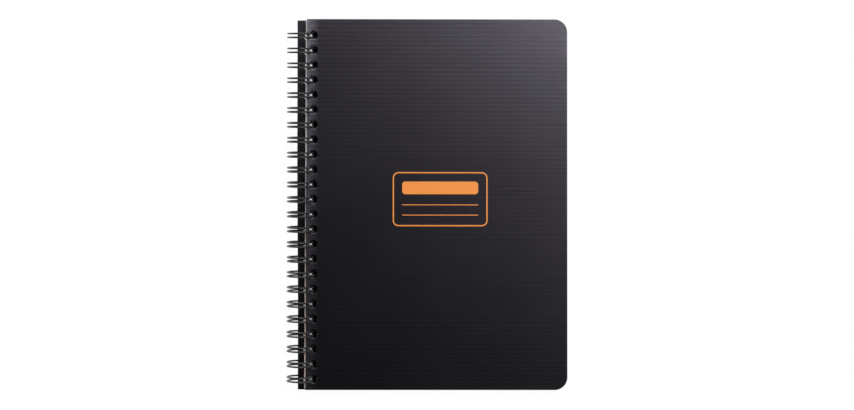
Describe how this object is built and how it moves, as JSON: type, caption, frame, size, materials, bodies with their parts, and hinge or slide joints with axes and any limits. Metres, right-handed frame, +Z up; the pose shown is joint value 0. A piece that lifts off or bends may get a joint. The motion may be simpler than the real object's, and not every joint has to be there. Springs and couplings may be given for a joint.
{
  "type": "address book",
  "caption": "Closed wire-bound A5 address book with plastic covers and stepped index leaves that all turn about the row of twin wire loops at the spine.",
  "frame": {"origin": "on the ground under the middle of the closed book's box", "axes": "+Z up, +Y along the spine towards the head, +X from the spine towards the fore-edge"},
  "size_m": [0.1591, 0.21, 0.0156],
  "materials": {
    "cover": "black polypropylene sheet with fine cross ribs, satin",
    "wire": "black nylon-coated steel wire, glossy",
    "paper": "uncoated white paper, ruled",
    "end_card": "orange card, uncoated"
  },
  "bodies": {
    "binding_wire": {"binding_wire": "wire"},
    "back_cover": {"back_cover": "cover"},
    "end_leaf": {"end_leaf": "end_card"},
    "section_yz": {"section_yz": "paper"},
    "section_wx": {"section_wx": "paper"},
    "section_uv": {"section_uv": "paper"},
    "section_st": {"section_st": "paper"},
    "section_qr": {"section_qr": "paper"},
    "section_op": {"section_op": "paper"},
    "section_mn": {"section_mn": "paper"},
    "section_kl": {"section_kl": "paper"},
    "section_ij": {"section_ij": "paper"},
    "section_gh": {"section_gh": "paper"},
    "section_ef": {"section_ef": "paper"},
    "section_cd": {"section_cd": "paper"},
    "section_ab": {"section_ab": "paper"},
    "title_leaf": {"title_leaf": "paper"},
    "front_cover": {"front_cover": "cover"}
  },
  "joints": [
    {"name": "back_cover_turn", "type": "hinge", "parent": "binding_wire", "child": "back_cover", "pos_m": [-0.07176, 0, 0.00776], "axis": [0, -1, 0], "range_deg": [0, 180]},
    {"name": "end_leaf_turn", "type": "hinge", "parent": "back_cover", "child": "end_leaf", "pos_m": [-0.07176, 0, 0.00776], "axis": [0, -1, 0], "range_deg": [0, 180]},
    {"name": "section_yz_turn", "type": "hinge", "parent": "end_leaf", "child": "section_yz", "pos_m": [-0.07176, 0, 0.00776], "axis": [0, -1, 0], "range_deg": [0, 180]},
    {"name": "section_wx_turn", "type": "hinge", "parent": "section_yz", "child": "section_wx", "pos_m": [-0.07176, 0, 0.00776], "axis": [0, -1, 0], "range_deg": [0, 180]},
    {"name": "section_uv_turn", "type": "hinge", "parent": "section_wx", "child": "section_uv", "pos_m": [-0.07176, 0, 0.00776], "axis": [0, -1, 0], "range_deg": [0, 180]},
    {"name": "section_st_turn", "type": "hinge", "parent": "section_uv", "child": "section_st", "pos_m": [-0.07176, 0, 0.00776], "axis": [0, -1, 0], "range_deg": [0, 180]},
    {"name": "section_qr_turn", "type": "hinge", "parent": "section_st", "child": "section_qr", "pos_m": [-0.07176, 0, 0.00776], "axis": [0, -1, 0], "range_deg": [0, 180]},
    {"name": "section_op_turn", "type": "hinge", "parent": "section_qr", "child": "section_op", "pos_m": [-0.07176, 0, 0.00776], "axis": [0, -1, 0], "range_deg": [0, 180]},
    {"name": "section_mn_turn", "type": "hinge", "parent": "section_op", "child": "section_mn", "pos_m": [-0.07176, 0, 0.00776], "axis": [0, -1, 0], "range_deg": [0, 180]},
    {"name": "section_kl_turn", "type": "hinge", "parent": "section_mn", "child": "section_kl", "pos_m": [-0.07176, 0, 0.00776], "axis": [0, -1, 0], "range_deg": [0, 180]},
    {"name": "section_ij_turn", "type": "hinge", "parent": "section_kl", "child": "section_ij", "pos_m": [-0.07176, 0, 0.00776], "axis": [0, -1, 0], "range_deg": [0, 180]},
    {"name": "section_gh_turn", "type": "hinge", "parent": "section_ij", "child": "section_gh", "pos_m": [-0.07176, 0, 0.00776], "axis": [0, -1, 0], "range_deg": [0, 180]},
    {"name": "section_ef_turn", "type": "hinge", "parent": "section_gh", "child": "section_ef", "pos_m": [-0.07176, 0, 0.00776], "axis": [0, -1, 0], "range_deg": [0, 180]},
    {"name": "section_cd_turn", "type": "hinge", "parent": "section_ef", "child": "section_cd", "pos_m": [-0.07176, 0, 0.00776], "axis": [0, -1, 0], "range_deg": [0, 180]},
    {"name": "section_ab_turn", "type": "hinge", "parent": "section_cd", "child": "section_ab", "pos_m": [-0.07176, 0, 0.00776], "axis": [0, -1, 0], "range_deg": [0, 180]},
    {"name": "title_leaf_turn", "type": "hinge", "parent": "section_ab", "child": "title_leaf", "pos_m": [-0.07176, 0, 0.00776], "axis": [0, -1, 0], "range_deg": [0, 180]},
    {"name": "front_cover_turn", "type": "hinge", "parent": "title_leaf", "child": "front_cover", "pos_m": [-0.07176, 0, 0.00776], "axis": [0, -1, 0], "range_deg": [0, 180]}
  ]
}
